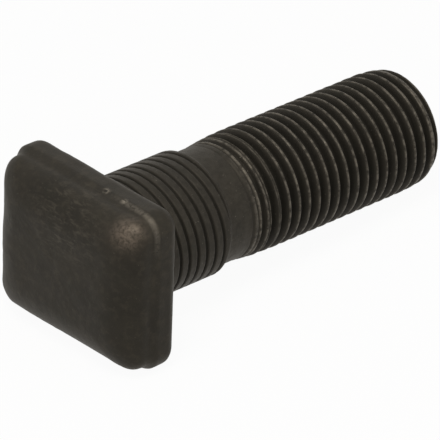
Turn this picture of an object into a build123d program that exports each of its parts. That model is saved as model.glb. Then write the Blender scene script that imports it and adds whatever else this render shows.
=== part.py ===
from build123d import *
import math
import os

# Wheel bolt: one forging with a rectangular two-tier head, a press-fit zone of helical ribs
# under the head, a plain collar left by the blank, and a rolled thread for the wheel nut.
#
# It is built standing on its own axis, with the underside of the head (the seat) at height 0,
# the tip upward, the head's long side along X and its short side along Y. At the end it is
# laid down the way it rests: on the lower back edge of the head and on the last full crests.

# Main thread, 7/8 inch with 11 turns to the inch, rounded 55 degree form
thread_diameter = 22.225
thread_pitch = 25.4 / 11
thread_flank_half_angle = 27.5
thread_depth = 0.640327 * thread_pitch
thread_root_width = thread_pitch / 6
thread_start = 26.2
thread_runout_turns = 0.9
thread_phase = 128.4

# Cutting allowances: how far a cut reaches past a crest, and a run-out into its groove
groove_clearance = 0.15
groove_overlap = 0.05

# Shank, heights measured from the seat
shank_length = 69.2
collar_diameter = 20.9
collar_end = 23.4
crest_growth_end = 27.6
crest_growth_diameter = 21.9
crest_full_from = 30.6

# Tip: the crests run down slightly, then a chamfer
tip_taper_start = 63.6
tip_chamfer_start = 67.1
tip_chamfer_diameter = 21.46
tip_end_diameter = 17.2

# Press-fit zone: three ribs wound side by side
rib_diameter = 22.9
rib_starts = 3
rib_spacing = 2.0
rib_groove_depth = 0.45
rib_groove_floor = 0.25
rib_groove_half_angle = 25.0
rib_zone_start = 2.6
rib_zone_end = 18.1
rib_chamfer_end = 19.1
rib_runin_turns = 0.1
rib_phase = 177.0

# Under the head
seat_fillet = 0.8

# Head, rear tier: the rim that carries the load
rim_width = 36.7
rim_height = 30.3
rim_thickness = 5.0
rim_corner_radius = 3.9
rim_front_rounding = 0.7
rim_back_rounding = 2.2

# Head, front tier: the rounded forging above the rim
crown_inset = 0.8
crown_height = 6.9
crown_corner_radius = 3.4
crown_front_corner_radius = 3.0
crown_rounding_inward = 6.8
crown_rounding_depth = 5.2
crown_sections = 7

# The forging dies sat slightly off the shank's axis, and the two tiers off each other
rim_offset_width = 0.1
rim_offset_height = -0.35
crown_offset_width = -0.25
crown_offset_height = -0.25


def rounded_plate(width, height, corner_radius, level):
    """A rectangle with round corners, lying at the given level on the bolt's axis."""
    return Pos(0, 0, level) * RectangleRounded(width, height, corner_radius)


def make_shank():
    """Everything of revolution from inside the head to the tip."""
    rib_r = rib_diameter / 2
    collar_r = collar_diameter / 2
    crest_r = thread_diameter / 2
    with BuildPart() as shank:
        with BuildSketch(Plane.XZ):
            with BuildLine():
                Polyline((0, -rim_thickness / 2), (rib_r + seat_fillet, -rim_thickness / 2))
                Line((rib_r + seat_fillet, -rim_thickness / 2), (rib_r + seat_fillet, 0))
                RadiusArc((rib_r + seat_fillet, 0), (rib_r, seat_fillet), seat_fillet)
                Polyline(
                    (rib_r, seat_fillet),
                    (rib_r, rib_zone_end),
                    (collar_r, rib_chamfer_end),
                    (collar_r, collar_end),
                    (crest_growth_diameter / 2, crest_growth_end),
                    (crest_r, crest_full_from),
                    (crest_r, tip_taper_start),
                    (tip_chamfer_diameter / 2, tip_chamfer_start),
                    (tip_end_diameter / 2, shank_length),
                    (0, shank_length),
                    (0, -rim_thickness / 2),
                )
            make_face()
        revolve(axis=Axis.Z)
    return shank.part


def helix_path(lead, start, turns, radius, phase):
    """A helix about the bolt's axis, chained from single turns so that each gets its own faces."""
    whole = math.floor(turns)
    lengths = [1.0] * whole + [turns - whole]
    edges = []
    for turn, length in enumerate(lengths):
        edge = Helix(lead, lead * length, radius)
        edges.append(Pos(0, 0, start + turn * lead) * Rot(0, 0, phase) * edge)
    return Wire(edges)


def sweep_groove(path, phase, depth, floor_width, half_angle):
    """A solid to cut away: a trapezoid groove section carried along a helical path."""
    half_floor = floor_width / 2
    half_top = half_floor + depth * math.tan(math.radians(half_angle))
    outward = Vector(1, 0, 0).rotate(Axis.Z, phase)
    section_plane = Plane(origin=path @ 0, x_dir=outward, z_dir=path % 0)
    section = section_plane * Polygon(
        (0, -half_floor), (depth, -half_top), (depth, half_top), (0, half_floor), align=None
    )
    return sweep(section, path=path, is_frenet=True)


def run_out(lead, level, turns, root_radius, outer_radius, phase):
    """A short conical helix that comes in from the air and meets the groove's full depth."""
    rise = lead * turns
    angle = math.degrees(math.atan2(outer_radius - root_radius, rise))
    edge = Helix(lead, rise, outer_radius, cone_angle=-angle)
    begin = phase - 360 * turns
    return Wire([Pos(0, 0, level - rise) * Rot(0, 0, begin) * edge]), begin


def cut_groove(
    body, lead, start, end, root_radius, outer_radius, floor_width, half_angle, phase, runout_turns
):
    """One helical groove with full depth from start to end, and a run-out below its start."""
    depth = outer_radius - root_radius
    path = helix_path(lead, start, (end - start) / lead, root_radius, phase)
    body = body - sweep_groove(path, phase, depth, floor_width, half_angle)
    path, begin = run_out(lead, start + groove_overlap, runout_turns, root_radius, outer_radius, phase)
    return body - sweep_groove(path, begin, depth, floor_width, half_angle)


def cut_thread(body):
    """The wheel nut's thread."""
    crest_r = thread_diameter / 2
    return cut_groove(
        body,
        thread_pitch,
        thread_start,
        shank_length + thread_pitch,
        crest_r - thread_depth,
        crest_r + groove_clearance,
        thread_root_width,
        thread_flank_half_angle,
        thread_phase,
        thread_runout_turns,
    )


def cut_ribs(body):
    """The grooves that leave the press-fit ribs standing, one for each start."""
    crest_r = rib_diameter / 2
    for start in range(rib_starts):
        body = cut_groove(
            body,
            rib_starts * rib_spacing,
            rib_zone_start,
            rib_chamfer_end + rib_spacing / 2,
            crest_r - rib_groove_depth,
            crest_r + groove_clearance,
            rib_groove_floor,
            rib_groove_half_angle,
            rib_phase + start * 360 / rib_starts,
            rib_runin_turns,
        )
    return body


def make_rim():
    """The rear tier, with its soft back edge and a tighter front edge."""
    rim = extrude(rounded_plate(rim_width, rim_height, rim_corner_radius, -rim_thickness), rim_thickness)
    rim = fillet(rim.faces().sort_by(Axis.Z)[-1].edges(), rim_back_rounding)
    rim = fillet(rim.faces().sort_by(Axis.Z)[0].edges(), rim_front_rounding)
    return Pos(rim_offset_width, rim_offset_height, 0) * rim


def make_crown():
    """The front tier: sections that shrink along an elliptical rounding up to a flat front."""
    width = rim_width - 2 * crown_inset
    height = rim_height - 2 * crown_inset
    front = -(rim_thickness + crown_height)
    shoulder = front + crown_rounding_depth
    inside = -rim_thickness / 2
    sections = [rounded_plate(width, height, crown_corner_radius, shoulder)]
    for step in range(1, crown_sections):
        angle = math.radians(90 * step / (crown_sections - 1))
        inward = crown_rounding_inward * (1 - math.cos(angle))
        level = shoulder - crown_rounding_depth * math.sin(angle)
        share = 1 - math.cos(angle)
        radius = crown_corner_radius + (crown_front_corner_radius - crown_corner_radius) * share
        sections.append(rounded_plate(width - 2 * inward, height - 2 * inward, radius, level))
    dome = loft(sections)
    base = extrude(rounded_plate(width, height, crown_corner_radius, shoulder), inside - shoulder)
    return Pos(crown_offset_width, crown_offset_height, 0) * (base + dome)


def resting_tilt():
    """How far the tip hangs below the head when the bolt lies on a level floor, in degrees."""
    edge_r = rim_back_rounding
    edge_drop = rim_height / 2 - rim_offset_height - edge_r
    crest_r = thread_diameter / 2
    reach = tip_taper_start + edge_r
    rise = edge_drop - crest_r
    slant = math.hypot(rise, reach)
    return math.degrees(math.atan2(rise, reach) + math.asin(edge_r / slant))


def lay_down(bolt):
    """Turn the bolt onto its side, tip toward +X, and set it on the floor at the origin."""
    lying = Rot(0, 90 + resting_tilt(), 0) * Rot(0, 0, 90) * bolt
    box = lying.bounding_box()
    centre = box.center()
    return Pos(-centre.X, -centre.Y, -box.min.Z) * lying


shank = cut_ribs(cut_thread(make_shank()))
head = make_rim() + make_crown()
wheel_bolt = lay_down(head + shank)

os.makedirs("parts", exist_ok=True)
export_step(wheel_bolt, "parts/wheel_bolt.step")
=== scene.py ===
import math

import bpy
import numpy as np
from mathutils import Matrix, Vector


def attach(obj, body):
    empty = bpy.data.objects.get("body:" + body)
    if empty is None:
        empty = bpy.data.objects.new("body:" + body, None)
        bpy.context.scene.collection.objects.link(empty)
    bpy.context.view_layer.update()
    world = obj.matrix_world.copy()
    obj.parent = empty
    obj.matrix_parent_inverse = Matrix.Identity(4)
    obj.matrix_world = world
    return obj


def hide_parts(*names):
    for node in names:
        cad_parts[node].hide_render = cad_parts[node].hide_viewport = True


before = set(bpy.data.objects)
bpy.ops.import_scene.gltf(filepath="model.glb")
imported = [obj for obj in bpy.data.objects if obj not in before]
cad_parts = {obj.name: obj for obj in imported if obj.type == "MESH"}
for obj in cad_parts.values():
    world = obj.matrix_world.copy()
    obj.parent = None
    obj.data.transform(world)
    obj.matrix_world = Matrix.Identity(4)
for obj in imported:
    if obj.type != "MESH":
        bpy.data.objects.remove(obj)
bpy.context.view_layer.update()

# The bolt's own sizes are in millimetres, measured along its axis from the seat under the head.
# X runs along the head's long side, Y along its short side, and Z toward the tip.
MM = 0.001

# How the bolt lies: where the middle of its seat is, and how far its tip hangs below level
SEAT_CENTRE = (-28.607, -0.1, 15.324)
RESTING_TILT = math.radians(3.81904)

# Head, rear tier
RIM_WIDTH = 36.7
RIM_HEIGHT = 30.3
RIM_THICKNESS = 5.0
RIM_CORNER = 3.9
RIM_BACK_ROUNDING = 2.2
RIM_OFFSET = (0.1, -0.35)

# Head, front tier, and the soft step from it out to the rear one
CROWN_WIDTH = 35.1
CROWN_HEIGHT = 28.7
CROWN_DEPTH = 6.9
CROWN_CORNER = 3.4
CROWN_FRONT_CORNER = 3.0
CROWN_ROUNDING_INWARD = 6.8
CROWN_ROUNDING_DEPTH = 5.2
CROWN_OFFSET = (-0.25, -0.25)
CROWN_DOME = 0.35
STEP_START = -6.5
STEP_END = -4.1
FRONT_LEVEL = -(RIM_THICKNESS + CROWN_DEPTH)

# Shank
RIB_RADIUS = 11.45
SEAT_FILLET = 0.8
COLLAR_RADIUS = 10.45
CREST_RADIUS = 11.1125
TIP_RADIUS = 9.25
SHANK_LENGTH = 69.15

# The blank's outline before the winding, as heights above the seat with their radii
SHANK_OUTLINE = (
    (SEAT_FILLET, RIB_RADIUS),
    (18.0, RIB_RADIUS),
    (18.3, 11.25),
    (19.0, 10.52),
    (19.35, COLLAR_RADIUS),
    (23.4, COLLAR_RADIUS),
    (27.6, 10.95),
    (30.6, CREST_RADIUS),
    (64.0, CREST_RADIUS),
    (67.2, 10.78),
    (68.3, 10.4),
    (68.8, 9.95),
    (SHANK_LENGTH, TIP_RADIUS),
)

# Thread: rounded 55 degree form, with one crest's height and direction read off the photo
PITCH = 25.4 / 11
THREAD_DEPTH = 0.640327 * PITCH
CREST_ROUNDING = 0.137329 * PITCH
FLANK_ANGLE = math.radians(27.5)
CREST_LEVEL = 46.49
CREST_TURN = 231.67 / 360
FULL_DEPTH_LEVEL = 28.6
RUN_OUT_TURNS = 4.5
RUN_OUT_LIMIT = 1.6
CREST_CLEARANCE = 0.15
THREAD_BLEND = 0.06

# Seam down the middle of the first crests
SEAM_DEPTH = 0.28
SEAM_HALF_WIDTH = 0.27
SEAM_BEGINS = (23.9, 24.9)
SEAM_FADES = (28.6, 32.0)

# Ribs
RIB_SPACING = 2.0
RIB_STARTS = 3
RIB_LEVEL = 11.65
RIB_TURN = 0.5
RIB_GROOVE_DEPTH = 0.45
RIB_GROOVE_EDGES = (0.12, 0.40)
RIBS_BEGIN = (1.6, 2.6)
RIBS_END = (19.2, 19.6)
RIBS_LET_GO = (19.4, 19.8)
RIB_BLEND = 0.05
# A rib's groove is this share shallower than the thread's, and still counts as fully cut
RIB_SHALLOWER = 0.68

# Uneven skin of the forging and of the rolled crests
FORGING_UNEVENNESS = 0.16
CREST_UNEVENNESS = 0.05
SEED = 4.0
SKIN_ENDS = (-0.6, -0.1)

# The mesh: columns round the axis, and rows from the middle of the face to the end of the tip
COLUMNS = 176
FACE_ROWS = 12
ROUNDING_ROWS = 18
STEP_ROWS = 14
SIDE_ROWS = 4
BACK_ROWS = 9
SEAT_ROWS = 5
FILLET_ROWS = 5
RIB_ROW_SPACING = 0.14
RIB_ROWS_END = 19.4
COLLAR_ROWS = 13
COLLAR_ROWS_START = 19.45
COLLAR_ROWS_END = 23.3
THREAD_ROWS = 292
THREAD_ROWS_START = 23.45
END_SHARES = (0.985, 0.94, 0.8, 0.6, 0.4, 0.2)
FINE_DIRECTIONS = 7201
# How much of the columns' spacing is even, and how much follows the head's corners
EVEN_SHARE = 0.70
CORNER_SHARE = 0.30
# A search for the head's side starts this far out and is halved this many times
BEYOND_THE_HEAD = 60.0
HALVINGS = 44

# Colours of the finish, among them a painted shade for the grooves and painted highlights
COAT_DARK = (0.0135, 0.0119, 0.0090, 1)
COAT_LIGHT = (0.0215, 0.0187, 0.0140, 1)
MOTTLED = (0.042, 0.0355, 0.0255, 1)
STAINED = (0.0125, 0.0125, 0.0088, 1)
SCUFFED = (0.068, 0.059, 0.045, 1)
# painted shade for the thread and rib grooves
GROOVE_SHADE = (0.0045, 0.0042, 0.0030, 1)
# crests: partly rubbed lighter, partly a painted highlight
CREST_RUB_AND_HIGHLIGHT = (0.130, 0.115, 0.092, 1)
WARM = (0.060, 0.047, 0.034, 1)
BARE = (0.20, 0.158, 0.122, 1)
# for the nicks, and for the painted highlight on the rim's front edge
BRIGHT = (0.21, 0.185, 0.150, 1)
SPECKLED = (0.24, 0.215, 0.175, 1)

# Worn patches, and a painted highlight along the rim's front edge: the middle, the reach, and how much
# of the reach is soft edge
FACE_SCUFFS = ((-2.0, 10.0, -11.0), 12.0, 9.0)
BARE_CORNER = ((-14.9, 12.5, -9.2), 4.3, 3.9)
CORNER_HALO = ((-14.6, 12.0, -9.4), 6.5, 6.0)
RIM_EDGE_HIGHLIGHT = ((-14.0, 13.6, -5.0), 9.0, 7.0)
LEFT_NICK = ((-4.7, 14.5, -4.6), 1.0, 0.8)
RIGHT_NICK = ((-9.3, 14.5, -4.7), 0.9, 0.8)

# Where along the bolt the finish changes
HEAD_COAT_ENDS = (0.2, 0.9)
SHANK_BEGINS = (0.9, 1.4)
RUB_AND_HIGHLIGHT_BEGINS = (24.2, 25.4)
RUB_AND_HIGHLIGHT_ENDS = (68.9, 69.1)
SPECKS_BEGIN = (24.0, 25.0)
SPECKS_END = (28.5, 31.0)
TURNED_LINES_BEGIN = (2.0, 10.0)


# Node trees


class Term:
    """A socket of a node tree. Arithmetic on it adds that tree's Math nodes."""

    def __init__(self, graph, socket):
        self.graph = graph
        self.socket = socket

    def math(self, operation, *others):
        values = dict(enumerate((self,) + others))
        return self.graph.add("ShaderNodeMath", {"operation": operation}, values)

    def __add__(self, other):
        return self.math("ADD", other)

    def __radd__(self, other):
        return self.math("ADD", other)

    def __sub__(self, other):
        return self.math("SUBTRACT", other)

    def __rsub__(self, other):
        return self.graph.number(other).math("SUBTRACT", self)

    def __mul__(self, other):
        return self.math("MULTIPLY", other)

    def __rmul__(self, other):
        return self.math("MULTIPLY", other)

    def __truediv__(self, other):
        return self.math("DIVIDE", other)

    def __pow__(self, other):
        return self.math("POWER", other)

    def least(self, other):
        return self.math("MINIMUM", other)

    def most(self, other):
        return self.math("MAXIMUM", other)

    def share(self, low, high):
        """Where the value stands between low and high, eased, from 0 to 1."""
        settings = {"interpolation_type": "SMOOTHSTEP"}
        values = {"Value": self, "From Min": low, "From Max": high}
        return self.graph.add("ShaderNodeMapRange", settings, values)


class Graph:
    """A shader or geometry node tree that is being built."""

    def __init__(self, tree):
        self.tree = tree

    def add(self, kind, settings=None, values=None, out=0):
        """One node of that kind: its settings first, then the values or links of its sockets."""
        made = self.tree.nodes.new(kind)
        for name, value in (settings or {}).items():
            setattr(made, name, value)
        for name, value in (values or {}).items():
            socket = made.inputs[name]
            if isinstance(value, Term):
                self.tree.links.new(value.socket, socket)
            else:
                socket.default_value = value
        return Term(self, made.outputs[out]) if made.outputs else None

    def number(self, value):
        return self.add("ShaderNodeMath", {"operation": "ADD"}, {0: value, 1: 0.0})


# The smooth blank


def plate_reach(width, height, corner, offset, turns):
    """How far a rectangle with round corners reaches from the bolt's axis, in each direction."""
    across = np.cos(turns)
    up = np.sin(turns)
    near = np.zeros_like(turns)
    far = np.full_like(turns, BEYOND_THE_HEAD)
    for _ in range(HALVINGS):
        middle = (near + far) / 2
        x = np.abs(middle * across - offset[0]) - (width / 2 - corner)
        y = np.abs(middle * up - offset[1]) - (height / 2 - corner)
        outside = np.hypot(np.maximum(x, 0), np.maximum(y, 0))
        distance = outside + np.minimum(np.maximum(x, y), 0) - corner
        near = np.where(distance < 0, middle, near)
        far = np.where(distance < 0, far, middle)
    return near


def column_turns():
    """Directions round the axis, closer together where the head's corners turn."""
    fine = np.linspace(0, 2 * math.pi, FINE_DIRECTIONS)
    reach = plate_reach(RIM_WIDTH, RIM_HEIGHT, RIM_CORNER, (0, 0), fine)
    heading = np.unwrap(np.arctan2(np.diff(reach * np.sin(fine)), np.diff(reach * np.cos(fine))))
    turning = np.concatenate(([0.0], np.cumsum(np.abs(np.diff(heading)))))
    turning = np.concatenate((turning, turning[-1:])) / max(turning[-1], 1e-9)
    weight = EVEN_SHARE * fine / (2 * math.pi) + CORNER_SHARE * turning
    wanted = np.arange(COLUMNS) / COLUMNS
    return np.interp(wanted, weight / weight[-1], fine)


def face_rows(turns):
    """From the middle of the front face to the edge of its flat, over a slight dome."""
    flat_share = (CROWN_HEIGHT / 2 - CROWN_ROUNDING_INWARD) / (CROWN_HEIGHT / 2)
    flat = plate_reach(
        CROWN_WIDTH - 2 * CROWN_ROUNDING_INWARD,
        CROWN_HEIGHT - 2 * CROWN_ROUNDING_INWARD,
        CROWN_FRONT_CORNER,
        CROWN_OFFSET,
        turns,
    )
    rows = []
    for step in range(1, FACE_ROWS + 1):
        share = step / FACE_ROWS
        dome = CROWN_DOME * (flat_share * share) ** 2
        rows.append((flat * share, np.full_like(turns, FRONT_LEVEL + dome)))
    return rows


def rounding_rows(turns):
    """From the face's flat over the big rounding to the crown's side."""
    shoulder = FRONT_LEVEL + CROWN_ROUNDING_DEPTH
    rows = []
    for step in range(1, ROUNDING_ROWS + 1):
        angle = math.radians(90 * (1 - step / ROUNDING_ROWS))
        share = 1 - math.cos(angle)
        inward = CROWN_ROUNDING_INWARD * share
        corner = CROWN_CORNER + (CROWN_FRONT_CORNER - CROWN_CORNER) * share
        reach = plate_reach(
            CROWN_WIDTH - 2 * inward, CROWN_HEIGHT - 2 * inward, corner, CROWN_OFFSET, turns
        )
        away = 1 - inward / (CROWN_HEIGHT / 2)
        dome = CROWN_DOME * away**2 * math.sin(angle)
        level = shoulder - CROWN_ROUNDING_DEPTH * math.sin(angle) + dome
        rows.append((reach, np.full_like(turns, level)))
    return rows


def rim_rows(turns, wall):
    """The soft step from the crown's wall out to the rim, and the rim's side and back edge."""
    side = plate_reach(RIM_WIDTH, RIM_HEIGHT, RIM_CORNER, RIM_OFFSET, turns)
    rows = []
    for step in range(1, STEP_ROWS + 1):
        share = step / STEP_ROWS
        eased = share * share * (3 - 2 * share)
        level = STEP_START + (STEP_END - STEP_START) * share
        rows.append((wall + (side - wall) * eased, np.full_like(turns, level)))
    for step in range(1, SIDE_ROWS + 1):
        level = STEP_END + (-RIM_BACK_ROUNDING - STEP_END) * step / SIDE_ROWS
        rows.append((side, np.full_like(turns, level)))
    for step in range(1, BACK_ROWS + 1):
        angle = math.radians(90 * step / BACK_ROWS)
        inward = RIM_BACK_ROUNDING * (1 - math.cos(angle))
        reach = plate_reach(
            RIM_WIDTH - 2 * inward, RIM_HEIGHT - 2 * inward, RIM_CORNER - inward, RIM_OFFSET, turns
        )
        level = -RIM_BACK_ROUNDING * (1 - math.sin(angle))
        rows.append((reach, np.full_like(turns, level)))
    return rows


def seat_rows(turns, edge):
    """The flat seat from the rim's back edge inward, and the fillet up to the shank."""
    ring = RIB_RADIUS + SEAT_FILLET
    rows = []
    for step in range(1, SEAT_ROWS + 1):
        share = step / SEAT_ROWS
        rows.append((edge + (ring - edge) * share, np.zeros_like(turns)))
    for step in range(1, FILLET_ROWS + 1):
        angle = math.radians(90 * step / FILLET_ROWS)
        reach = ring - SEAT_FILLET * math.sin(angle)
        level = SEAT_FILLET * (1 - math.cos(angle))
        rows.append((np.full_like(turns, reach), np.full_like(turns, level)))
    return rows


def shank_rows(turns):
    """Close rows along the ribs and the thread, with fewer on the plain collar."""
    heights, radii = zip(*SHANK_OUTLINE)
    ribs = np.arange(SEAT_FILLET + RIB_ROW_SPACING, RIB_ROWS_END, RIB_ROW_SPACING)
    collar = np.linspace(COLLAR_ROWS_START, COLLAR_ROWS_END, COLLAR_ROWS)
    thread = np.linspace(THREAD_ROWS_START, SHANK_LENGTH, THREAD_ROWS)
    rows = []
    for level in np.concatenate((ribs, collar, thread)):
        radius = float(np.interp(level, heights, radii))
        rows.append((np.full_like(turns, radius), np.full_like(turns, level)))
    return rows


def end_rows(turns):
    """The flat end of the tip."""
    rows = []
    for share in END_SHARES:
        rows.append((np.full_like(turns, TIP_RADIUS * share), np.full_like(turns, SHANK_LENGTH)))
    return rows


def skin_faces(count):
    """Four-sided faces between the rows, and a fan of triangles over each end."""
    front = count * COLUMNS
    tip = front + 1
    faces = []
    for row in range(count - 1):
        for column in range(COLUMNS):
            after = (column + 1) % COLUMNS
            here = row * COLUMNS
            below = here + COLUMNS
            faces.append((here + column, here + after, below + after, below + column))
    last = (count - 1) * COLUMNS
    for column in range(COLUMNS):
        after = (column + 1) % COLUMNS
        faces.append((front, after, column))
        faces.append((last + column, last + after, tip))
    return faces


def blank_mesh():
    """One closed skin over the head, the shank and the tip, in the bolt's own frame, in millimetres."""
    turns = column_turns()
    head = face_rows(turns) + rounding_rows(turns)
    head += rim_rows(turns, head[-1][0])
    head += seat_rows(turns, head[-1][0])
    shank = shank_rows(turns)
    rows = head + shank + end_rows(turns)
    reach = np.array([row[0] for row in rows])
    level = np.array([row[1] for row in rows])
    points = np.stack((reach * np.cos(turns), reach * np.sin(turns), level), axis=-1).reshape(-1, 3)
    points = np.vstack((points, [(0.0, 0.0, FRONT_LEVEL), (0.0, 0.0, SHANK_LENGTH)]))
    mesh = bpy.data.meshes.new("wheel_bolt_blank")
    mesh.from_pydata(points.tolist(), [], skin_faces(len(rows)))
    mesh.validate()
    wound = np.zeros(len(points), np.float32)
    wound[len(head) * COLUMNS : (len(head) + len(shank)) * COLUMNS] = 1.0
    held = mesh.attributes.new("wound", "FLOAT", "POINT")
    held.data.foreach_set("value", wound)
    return mesh


# Thread, ribs and forging skin


class Winding(Graph):
    """The geometry node tree that winds the thread and ribs, with its inputs and the blank's points."""

    def __init__(self, tree):
        super().__init__(tree)
        self.entry = tree.nodes.new("NodeGroupInput")
        self.place = self.add("GeometryNodeInputPosition")
        split = self.add("ShaderNodeSeparateXYZ", values={"Vector": self.place}).socket.node
        self.x = Term(self, split.outputs["X"])
        self.y = Term(self, split.outputs["Y"])
        self.z = Term(self, split.outputs["Z"])
        self.radius = (self.x * self.x + self.y * self.y) ** 0.5
        self.turn = self.y.math("ARCTAN2", self.x) / (2 * math.pi)

    def given(self, name):
        return Term(self, self.entry.outputs[name])

    def noise(self, place, scale, detail, roughness):
        values = {
            "Vector": place,
            "W": self.given("Seed"),
            "Scale": scale,
            "Detail": detail,
            "Roughness": roughness,
        }
        return self.add("ShaderNodeTexNoise", {"noise_dimensions": "4D"}, values)

    def thread(self):
        """The thread's radius, and how far a point is from the nearest crest along the axis."""
        pitch = self.given("Thread pitch")
        rounding = self.given("Crest rounding")
        depth = self.given("Thread depth")
        climb = (self.z - self.given("Crest level")) / pitch - self.turn + CREST_TURN
        part = climb.math("FRACT")
        beside_crest = (0.5 - (part - 0.5).math("ABSOLUTE")) * pitch

        # crests and roots are the same arc, joined by straight flanks
        near_end = beside_crest.least(pitch * 0.5 - beside_crest)
        arc_half = rounding * math.cos(FLANK_ANGLE)
        on_arc = near_end.least(arc_half)
        arc = rounding - (rounding * rounding - on_arc * on_arc) ** 0.5
        flank = (near_end - arc_half).most(0.0) / math.tan(FLANK_ANGLE)
        lower = beside_crest.math("GREATER_THAN", pitch * 0.25)
        drop = (arc + flank) * (1.0 - 2.0 * lower) + depth * lower

        # before its full depth, each groove is lifted until it leaves the metal
        groove_level = self.z - (part - 0.5) * pitch
        short = (self.given("Full depth level") - groove_level) / (pitch * self.given("Run-out turns"))
        lift = short.most(0.0).least(RUN_OUT_LIMIT) * (depth + CREST_CLEARANCE)
        return self.given("Thread radius") - drop + lift, beside_crest

    def seam(self, beside_crest):
        """The last crests rolled only part way, so they stand double with a groove between."""
        fading = 1.0 - self.z.share(*SEAM_FADES)
        rising = self.z.share(*SEAM_BEGINS)
        seam_gap = 1.0 - (beside_crest / SEAM_HALF_WIDTH).share(0.0, 1.0)
        return seam_gap * fading * rising * self.given("Seam depth")

    def ribs(self):
        """The radius over broad ribs with narrow grooves between, and where the ribs are."""
        spacing = self.given("Rib spacing")
        around = (self.turn - RIB_TURN) * self.given("Rib starts")
        climb = (self.z - self.given("Rib level")) / spacing - around
        from_crest = ((climb + 0.5).math("FRACT") - 0.5).math("ABSOLUTE") * spacing
        from_groove = spacing * 0.5 - from_crest
        groove = 1.0 - from_groove.share(*RIB_GROOVE_EDGES)
        on_ribs = self.z.share(*RIBS_BEGIN) * (1.0 - self.z.share(*RIBS_END))
        ribs = RIB_RADIUS - groove * on_ribs * self.given("Rib groove depth")
        return ribs + self.z.share(*RIBS_LET_GO) * 2.0, on_ribs

    def knocks(self):
        """Small knocks and rolling marks along the crests."""
        shift = {0: self.place, 1: (3.0, 7.0, 1.0)}
        where = self.add("ShaderNodeVectorMath", {"operation": "ADD"}, shift)
        return self.given("Crest unevenness") * self.noise(where, 0.9, 2.0, 0.6).share(0.35, 0.75)

    def forging_skin(self, wound):
        """Broad hollows and scale marks on the head, always inward."""
        normal = self.add("GeometryNodeInputNormal")
        broad = self.noise(self.place, 0.11, 2.0, 0.5)
        scale_marks = self.noise(self.place, 0.55, 3.0, 0.55)
        hollow = (broad.share(0.3, 0.7) + scale_marks.share(0.3, 0.7) * 0.3) * (1.0 - wound)
        hollow = hollow * (1.0 - self.z.share(*SKIN_ENDS)) * self.given("Forging unevenness")
        values = {0: normal, "Scale": 0.0 - hollow}
        return self.add("ShaderNodeVectorMath", {"operation": "SCALE"}, values)


def add_input(tree, name, value=None, kind="NodeSocketFloat"):
    socket = tree.interface.new_socket(name=name, in_out="INPUT", socket_type=kind)
    if value is not None:
        socket.default_value = value


def winding_tree():
    """Geometry nodes that wind the thread and ribs into the blank and roughen its forged head."""
    tree = bpy.data.node_groups.new("thread_and_ribs", "GeometryNodeTree")
    add_input(tree, "Blank", kind="NodeSocketGeometry")
    add_input(tree, "Finish", kind="NodeSocketMaterial")
    numbers = {
        "Thread pitch": PITCH,
        "Thread radius": CREST_RADIUS,
        "Thread depth": THREAD_DEPTH,
        "Crest rounding": CREST_ROUNDING,
        "Crest level": CREST_LEVEL,
        "Full depth level": FULL_DEPTH_LEVEL,
        "Run-out turns": RUN_OUT_TURNS,
        "Seam depth": SEAM_DEPTH,
        "Rib spacing": RIB_SPACING,
        "Rib starts": RIB_STARTS,
        "Rib level": RIB_LEVEL,
        "Rib groove depth": RIB_GROOVE_DEPTH,
        "Forging unevenness": FORGING_UNEVENNESS,
        "Crest unevenness": CREST_UNEVENNESS,
        "Seed": SEED,
    }
    for name, value in numbers.items():
        add_input(tree, name, float(value))
    tree.interface.new_socket(name="Bolt", in_out="OUTPUT", socket_type="NodeSocketGeometry")
    winding = Winding(tree)
    radius = winding.radius
    named = {"Name": "wound"}
    wound = winding.add("GeometryNodeInputNamedAttribute", {"data_type": "FLOAT"}, named)

    thread, beside_crest = winding.thread()
    ribs, on_ribs = winding.ribs()
    wound_radius = radius.math("SMOOTH_MIN", thread, THREAD_BLEND)
    wound_radius = wound_radius.math("SMOOTH_MIN", ribs, RIB_BLEND)
    wound_radius = wound_radius - winding.seam(beside_crest) - winding.knocks()
    new_radius = radius + (wound_radius - radius) * wound
    grow = new_radius / radius.most(0.0001)
    full_cut = winding.given("Thread depth") * (1.0 - on_ribs * RIB_SHALLOWER)
    cut = (radius - new_radius) / full_cut
    sink = winding.forging_skin(wound)
    moved = winding.add(
        "ShaderNodeCombineXYZ", values={"X": winding.x * grow, "Y": winding.y * grow, "Z": winding.z}
    )

    shape = winding.add(
        "GeometryNodeStoreNamedAttribute",
        {"data_type": "FLOAT", "domain": "POINT"},
        {"Geometry": winding.given("Blank"), "Name": "groove", "Value": cut},
    )
    shape = winding.add(
        "GeometryNodeSetPosition", values={"Geometry": shape, "Position": moved, "Offset": sink}
    )
    shape = winding.add("GeometryNodeRealizeInstances", values={"Geometry": shape})
    shape = winding.add(
        "GeometryNodeSetMaterial", values={"Geometry": shape, "Material": winding.given("Finish")}
    )
    leave = tree.nodes.new("NodeGroupOutput")
    tree.links.new(shape.socket, leave.inputs["Bolt"])
    return tree


def lying_place():
    """The turn and shift that lay the bolt on its side, tip toward +X."""
    tip = Vector((math.cos(RESTING_TILT), 0.0, -math.sin(RESTING_TILT)))
    long_side = Vector((0.0, 1.0, 0.0))
    short_side = Vector((math.sin(RESTING_TILT), 0.0, math.cos(RESTING_TILT)))
    turn = Matrix((long_side, short_side, tip)).transposed().to_4x4()
    return Matrix.Translation(Vector(SEAT_CENTRE)) @ turn


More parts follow.
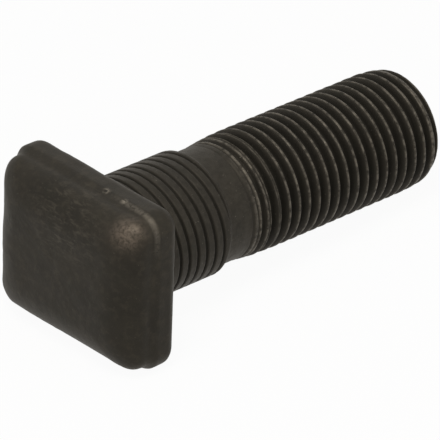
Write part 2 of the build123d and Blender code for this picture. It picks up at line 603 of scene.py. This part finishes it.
def make_bolt(finish):
    """The whole bolt: blank, wound thread and ribs, laid down and brought to metres."""
    blank = bpy.data.objects.new("wheel_bolt_blank", blank_mesh())
    bpy.context.scene.collection.objects.link(blank)
    tree = winding_tree()
    winding = blank.modifiers.new("thread and ribs", "NODES")
    winding.node_group = tree
    for item in tree.interface.items_tree:
        if item.in_out == "INPUT" and item.name == "Finish":
            winding[item.identifier] = finish
    ready = bpy.context.evaluated_depsgraph_get()
    mesh = bpy.data.meshes.new_from_object(blank.evaluated_get(ready))
    blank.modifiers.remove(winding)
    bpy.data.objects.remove(blank)
    mesh.name = "forged_wheel_bolt"

    # the finish is laid out in the bolt's own frame, so each point keeps its place there
    place = np.zeros(len(mesh.vertices) * 3, np.float32)
    mesh.vertices.foreach_get("co", place)
    kept = mesh.attributes.new("place", "FLOAT_VECTOR", "POINT")
    kept.data.foreach_set("vector", place)
    mesh.transform(Matrix.Scale(MM, 4) @ lying_place())
    mesh.polygons.foreach_set("use_smooth", np.ones(len(mesh.polygons), bool))
    mesh.update()
    bolt = bpy.data.objects.new("forged_wheel_bolt", mesh)
    bpy.context.scene.collection.objects.link(bolt)
    return bolt


# Finish


class Finish(Graph):
    """The steel's shader node tree, laid out in the bolt's own frame."""

    def __init__(self, tree):
        super().__init__(tree)
        self.place = self.add("ShaderNodeAttribute", {"attribute_name": "place"}, out="Vector")
        self.groove = self.add("ShaderNodeAttribute", {"attribute_name": "groove"}, out="Fac")
        split = self.add("ShaderNodeSeparateXYZ", values={"Vector": self.place}).socket.node
        self.z = Term(self, split.outputs["Z"])
        self.forged = 1.0 - self.z.share(*HEAD_COAT_ENDS)
        self.on_shank = self.z.share(*SHANK_BEGINS)
        self.crest = (1.0 - self.groove.share(0.0, 0.16)) * self.on_shank
        self.ragged = self.noise(1.1, 5.0, 0.7, distortion=0.6)

    def noise(self, scale, detail, roughness=0.55, vector=None, distortion=0.0):
        values = {
            "Vector": vector or self.place,
            "Scale": scale,
            "Detail": detail,
            "Roughness": roughness,
            "Distortion": distortion,
        }
        return self.add("ShaderNodeTexNoise", values=values)

    def stretched(self, x_scale, y_scale, z_scale):
        values = {"Vector": self.place, "Scale": (x_scale, y_scale, z_scale)}
        return self.add("ShaderNodeMapping", values=values)

    def patch(self, worn):
        """1 at the middle of a worn patch, fading out to 0 at its edge."""
        middle, size, soft = worn
        values = {0: self.place, 1: middle}
        apart = self.add("ShaderNodeVectorMath", {"operation": "DISTANCE"}, values, out="Value")
        return 1.0 - apart.share(size - soft, size)

    def blend(self, amount, first, second):
        values = {0: amount, 6: first, 7: second}
        return self.add("ShaderNodeMix", {"data_type": "RGBA"}, values, out=2)

    def coat(self, cloud, mottle, stain):
        """The coating: clouded, mottled most on the head, stained, and scuffed on the upper face."""
        base = self.blend(cloud.share(0.3, 0.7), COAT_DARK, COAT_LIGHT)
        base = self.blend(mottle.share(0.45, 0.72) * (0.12 + 0.33 * self.forged), base, MOTTLED)
        base = self.blend(stain * 0.45, base, STAINED)
        scuffs = self.noise(0.9, 5.0, 0.68, self.stretched(0.5, 1.6, 1.0), 0.4).share(0.47, 0.66)
        return self.blend(self.patch(FACE_SCUFFS) * scuffs * 0.5, base, SCUFFED)

    def rubbed_and_highlit_crests(self):
        """Where the thread's crests are lighter, and the ribs' a little: partly rubbed by handling,
        partly a painted highlight.
        """
        on_thread = self.z.share(*RUB_AND_HIGHLIGHT_BEGINS) * (1.0 - self.z.share(*RUB_AND_HIGHLIGHT_ENDS))
        return self.crest * self.noise(0.9, 4.0, 0.65).share(0.34, 0.64) * (0.10 + 0.90 * on_thread)

    def nicks_and_rim_highlight(self):
        """A painted highlight along the rim's front edge near the bare corner, and two nicks beside it.
        """
        edge_line = 1.0 - ((self.z + RIM_THICKNESS).math("ABSOLUTE")).share(0.1, 0.75)
        edge_highlight = self.patch(RIM_EDGE_HIGHLIGHT) * edge_line * self.ragged.share(0.3, 0.6)
        nicks = self.patch(LEFT_NICK) + self.patch(RIGHT_NICK)
        nicks = nicks * self.ragged.share(0.42, 0.56)
        return (nicks * 0.7 + edge_highlight * 0.4).least(1.0)

    def specks(self):
        """Bright specks, most of them on crests and where the thread begins."""
        run_out = self.z.share(*SPECKS_BEGIN) * (1.0 - self.z.share(*SPECKS_END))
        amount = self.crest * 0.6 + 0.25 + run_out * 0.6
        return (self.noise(2.2, 3.0, 0.6).share(0.66, 0.74) * amount).least(1.0)


def phosphated_steel():
    """Dark phosphated steel: mottled, with painted shade darkening the grooves, crests lighter partly
    from rubbing and partly as painted highlight, a painted highlight along the rim's front edge, and a
    worn bare corner.
    """
    material = bpy.data.materials.new("phosphated_steel")
    material.use_nodes = True
    material.node_tree.nodes.clear()
    finish = Finish(material.node_tree)
    cloud = finish.noise(0.16, 3.0)
    mottle = finish.noise(0.7, 4.0, 0.6)
    grain = finish.noise(4.5, 3.0, 0.6)
    stain = finish.noise(0.33, 4.0, 0.62).share(0.5, 0.7)
    # how deep in its groove a point is: painted shade darkens the colour there, and it roughens it
    groove_shade = finish.groove.share(0.12, 0.75)
    rubbed_and_highlit = finish.rubbed_and_highlit_crests()
    bare = (finish.patch(BARE_CORNER) * (0.12 + finish.ragged.share(0.36, 0.62))).least(1.0)

    # the coating, with painted shade darkening the grooves, and then the wear and the painted
    # highlights on it
    base = finish.coat(cloud, mottle, stain)
    base = finish.blend(groove_shade * 0.8, base, GROOVE_SHADE)
    # the crests lighter, partly from rubbing and partly as a painted highlight
    base = finish.blend(rubbed_and_highlit * 0.85, base, CREST_RUB_AND_HIGHLIGHT)
    base = finish.blend(finish.patch(CORNER_HALO) * 0.3, base, WARM)
    base = finish.blend(bare * 0.5, base, BARE)
    # two nicks, and a painted highlight along the rim's front edge
    base = finish.blend(finish.nicks_and_rim_highlight(), base, BRIGHT)
    base = finish.blend(finish.specks() * 0.55, base, SPECKLED)
    rough = 0.46 + 0.16 * cloud + groove_shade * 0.15 - rubbed_and_highlit * 0.10 - bare * 0.12

    # fine turned lines round the shank, and the grain of the coating everywhere
    lines = finish.noise(1.0, 3.0, 0.6, finish.stretched(0.25, 0.25, 9.0))
    turned = lines * finish.on_shank * finish.z.share(*TURNED_LINES_BEGIN)
    height = grain * 0.35 + (mottle * 0.8 + stain * 0.3) * finish.forged + turned * 0.5
    relief = {"Strength": 0.5, "Distance": 0.00012, "Height": height}
    surface = {
        "Base Color": base,
        "Roughness": rough,
        "Metallic": 0.3,
        "Specular IOR Level": 0.27,
        "Specular Tint": (1.0, 0.92, 0.80, 1),
        "Normal": finish.add("ShaderNodeBump", values=relief),
    }
    shader = finish.add("ShaderNodeBsdfPrincipled", values=surface)
    finish.add("ShaderNodeOutputMaterial", values={"Surface": shader})
    return material


# Studio


def white_to_the_eye(graph):
    """1 for the camera and for what metal mirrors, 0 for light that falls on the bolt."""
    rays = graph.add("ShaderNodeLightPath").socket.node
    camera_ray = Term(graph, rays.outputs["Is Camera Ray"])
    glossy_ray = Term(graph, rays.outputs["Is Glossy Ray"])
    clear_ray = Term(graph, rays.outputs["Is Transmission Ray"])
    return (camera_ray + glossy_ray + clear_ray).least(1.0)


def make_floor():
    """A plain white table top that still takes the bolt's shadow."""
    material = bpy.data.materials.new("white_table")
    material.use_nodes = True
    material.node_tree.nodes.clear()
    graph = Graph(material.node_tree)
    matt = graph.add("ShaderNodeBsdfDiffuse", values={"Color": (0.85, 0.85, 0.85, 1)})
    glow = graph.add("ShaderNodeEmission", values={"Color": (1.0, 1.0, 1.0, 1), "Strength": 1.0})
    seen = white_to_the_eye(graph) * 0.95
    surface = graph.add("ShaderNodeMixShader", values={0: seen, 1: matt, 2: glow})
    graph.add("ShaderNodeOutputMaterial", values={"Surface": surface})
    half = 4.0
    mesh = bpy.data.meshes.new("table_top")
    corners = [(-half, -half, 0), (half, -half, 0), (half, half, 0), (-half, half, 0)]
    mesh.from_pydata(corners, [], [(0, 1, 2, 3)])
    mesh.materials.append(material)
    floor = bpy.data.objects.new("table_top", mesh)
    bpy.context.scene.collection.objects.link(floor)
    return floor


def light_world():
    """White all round to the eye, and a weaker even light on the bolt."""
    world = bpy.data.worlds.new("studio_air")
    bpy.context.scene.world = world
    world.use_nodes = True
    world.node_tree.nodes.clear()
    graph = Graph(world.node_tree)
    strength = 0.28 + white_to_the_eye(graph) * 0.72
    sky = graph.add("ShaderNodeBackground", values={"Color": (1.0, 1.0, 1.0, 1), "Strength": strength})
    graph.add("ShaderNodeOutputWorld", values={"Surface": sky})


def hang_lamp(name, place, size, level):
    """A square soft box aimed at the bolt. At level 1 it lights white paper to full white by itself."""
    data = bpy.data.lights.new(name, "AREA")
    data.shape = "SQUARE"
    data.size = size
    aim = Vector((0.0, 0.0, 0.012)) - Vector(place)
    data.energy = level * math.pi**2 * aim.length_squared
    data.color = (1.0, 0.97, 0.92)
    lamp = bpy.data.objects.new(name, data)
    lamp.location = place
    lamp.rotation_euler = aim.to_track_quat("-Z", "Y").to_euler()
    bpy.context.scene.collection.objects.link(lamp)


def set_camera():
    """A long lens from the head end, above and to the left, as the photo was taken."""
    data = bpy.data.cameras.new("camera")
    data.sensor_width = 36.0
    data.lens = 437.36
    data.clip_start = 0.01
    data.clip_end = 50.0
    camera = bpy.data.objects.new("camera", data)
    camera.location = (-0.525206, -0.584095, 0.496988)
    camera.rotation_euler = [math.radians(angle) for angle in (58.10576, 1.04621, -42.463)]
    bpy.context.scene.collection.objects.link(camera)
    bpy.context.scene.camera = camera


bpy.context.scene.view_settings.view_transform = "Standard"
finish = phosphated_steel()
bolt = make_bolt(finish)
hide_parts("wheel_bolt")
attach(bolt, "root")
floor = make_floor()
light_world()
hang_lamp("key_box", (-0.32, -0.20, 0.85), 0.40, 0.60)
hang_lamp("fill_box", (0.25, -0.80, 0.40), 0.6, 0.16)
set_camera()

bpy.context.view_layer.update()
